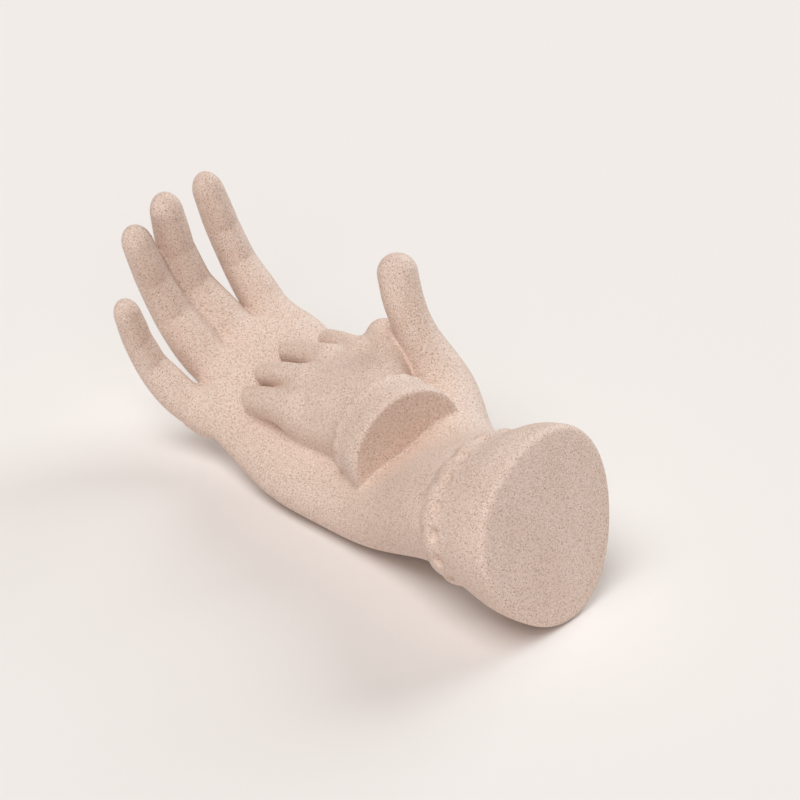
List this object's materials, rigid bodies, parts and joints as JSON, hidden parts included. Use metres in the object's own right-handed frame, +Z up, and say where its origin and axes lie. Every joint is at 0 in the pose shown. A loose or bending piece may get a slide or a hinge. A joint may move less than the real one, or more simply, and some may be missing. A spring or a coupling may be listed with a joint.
{
  "type": "ceramic hand sculpture",
  "caption": "Life-size open ceramic hand lying palm up with a child's hand resting in it; beaded cuffs, flat closed wrist end and a flat foot under the palm.",
  "frame": {"origin": "middle of the sculpture's bounding box in plan, on the surface that it lies on", "axes": "+Y from the flat end of the cuff towards the fingertips, +X towards the adult thumb, +Z up"},
  "size_m": [0.1088, 0.2586, 0.1144],
  "materials": {
    "speckled_clay": "matte, unglazed, beige pink with fine brown specks"
  },
  "bodies": {
    "root": {"palm": "speckled_clay", "thumb": "speckled_clay", "index_finger": "speckled_clay", "middle_finger": "speckled_clay", "ring_finger": "speckled_clay", "little_finger": "speckled_clay", "cuff": "speckled_clay", "cuff_end_disc": "speckled_clay", "cuff_beading": "speckled_clay", "child_hand": "speckled_clay", "child_index_finger": "speckled_clay", "child_middle_finger": "speckled_clay", "child_ring_finger": "speckled_clay", "child_little_finger": "speckled_clay", "child_thumb": "speckled_clay", "child_cuff": "speckled_clay", "child_cuff_end": "speckled_clay", "child_cuff_beading": "speckled_clay"}
  },
  "joints": []
}
